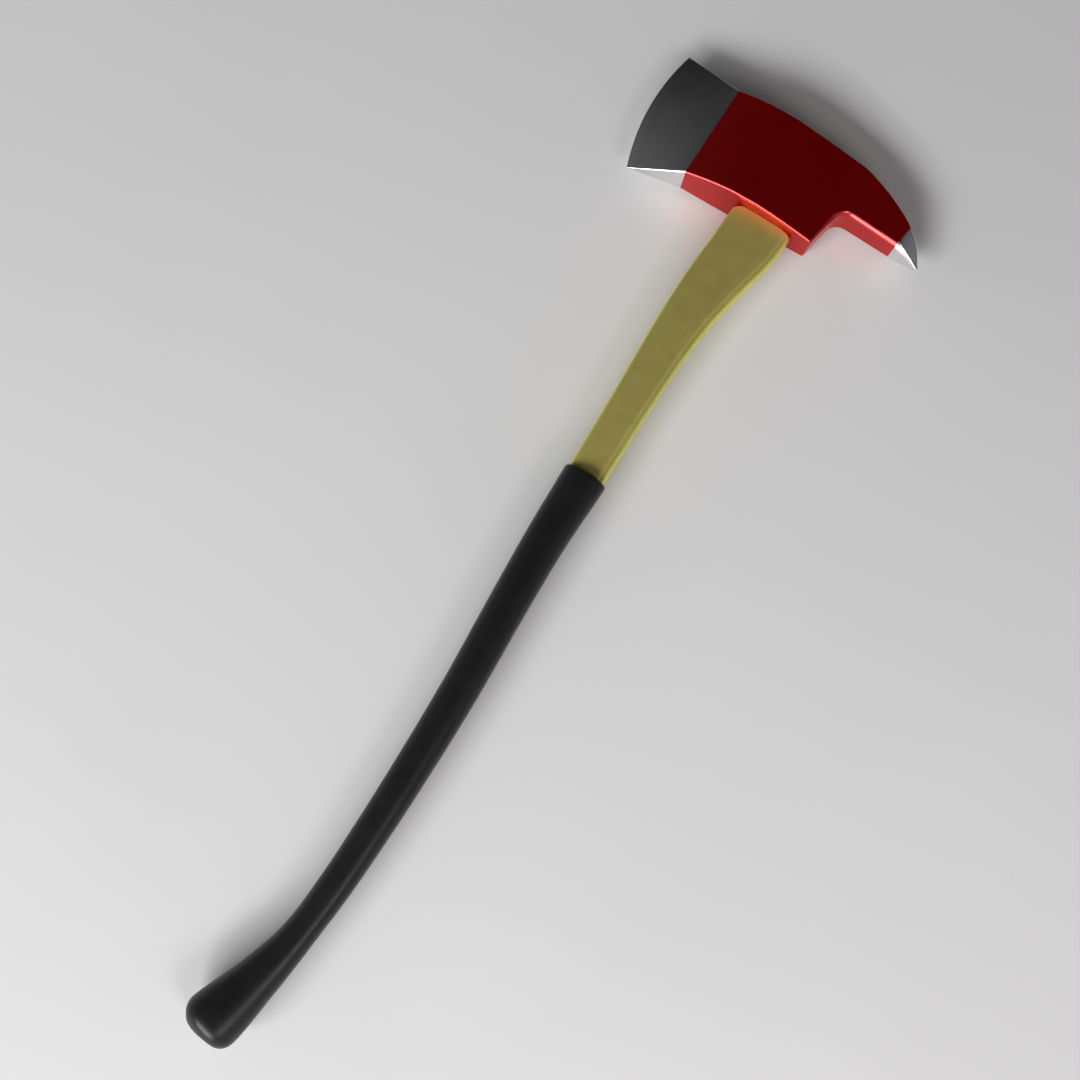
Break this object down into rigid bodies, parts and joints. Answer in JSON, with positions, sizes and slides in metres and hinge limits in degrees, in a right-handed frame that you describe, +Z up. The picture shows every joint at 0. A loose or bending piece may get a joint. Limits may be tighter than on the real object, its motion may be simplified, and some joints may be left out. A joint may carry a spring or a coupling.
{
  "type": "pick head fire axe",
  "caption": "Pick-head fire axe: forged head with a ground bit and pick, bonded fibreglass handle and a rubber grip that ends in a fawn-foot knob.",
  "frame": {"origin": "middle of the flat of the lower cheek, on the surface that the axe lies on", "axes": "+Y from the butt of the handle to the head, +X from the cutting edge to the pick, +Z up through both cheeks"},
  "size_m": [0.2806, 0.929, 0.0446],
  "materials": {
    "red_enamel": "glossy red enamel on forged steel",
    "bare_steel": "ground and polished bit and pick tip",
    "yellow_jacket": "satin-gloss moulded yellow plastic",
    "black_rubber": "satin moulded rubber",
    "glass_fibre": "resin-bonded glass fibre, sawn end",
    "eye_resin": "cured amber epoxy",
    "foam_cord": "closed-cell foam rubber"
  },
  "bodies": {
    "root": {"axe_head": "red_enamel", "handle_jacket": "yellow_jacket", "fibreglass_core": "glass_fibre", "rubber_grip": "black_rubber", "eye_resin": "eye_resin", "eye_seal_cord": "foam_cord"}
  },
  "joints": []
}
